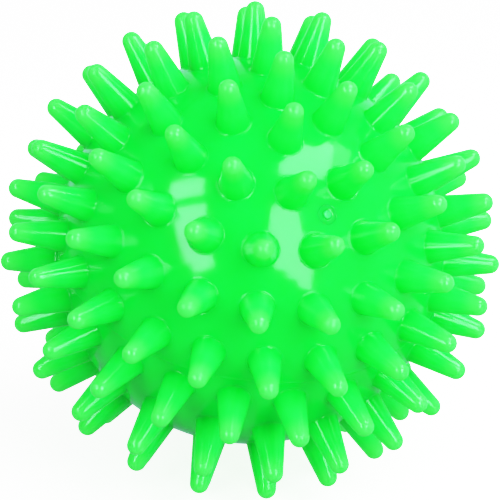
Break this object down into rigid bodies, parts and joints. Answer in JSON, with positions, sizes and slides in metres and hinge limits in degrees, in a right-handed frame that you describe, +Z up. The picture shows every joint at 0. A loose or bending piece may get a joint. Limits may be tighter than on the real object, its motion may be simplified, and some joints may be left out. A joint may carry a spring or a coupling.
{
  "type": "massage ball",
  "caption": "Hollow soft plastic massage ball covered in round-tipped radial spikes, with a needle valve closed by a pull-out pin.",
  "frame": {"origin": "on the table, straight under the ball's centre, which is 44.2 mm up", "axes": "+Z up, with the ball at rest on three spike tips; -Y the front, the side that the valve faces"},
  "size_m": [0.0897, 0.0896, 0.0889],
  "materials": {
    "skin_pvc": "glossy soft PVC, bright green, slightly see-through",
    "valve_rubber": "satin soft rubber, green",
    "pin_plastic": "smooth pale green plastic"
  },
  "bodies": {
    "ball": {"ball_skin": "skin_pvc", "valve_core": "valve_rubber"},
    "pin": {"valve_pin": "pin_plastic"}
  },
  "joints": [
    {"name": "valve_pin_slide", "type": "slide", "parent": "ball", "child": "pin", "axis": [0.3859, -0.7896, 0.4771], "range_m": [0, 0.009]}
  ]
}
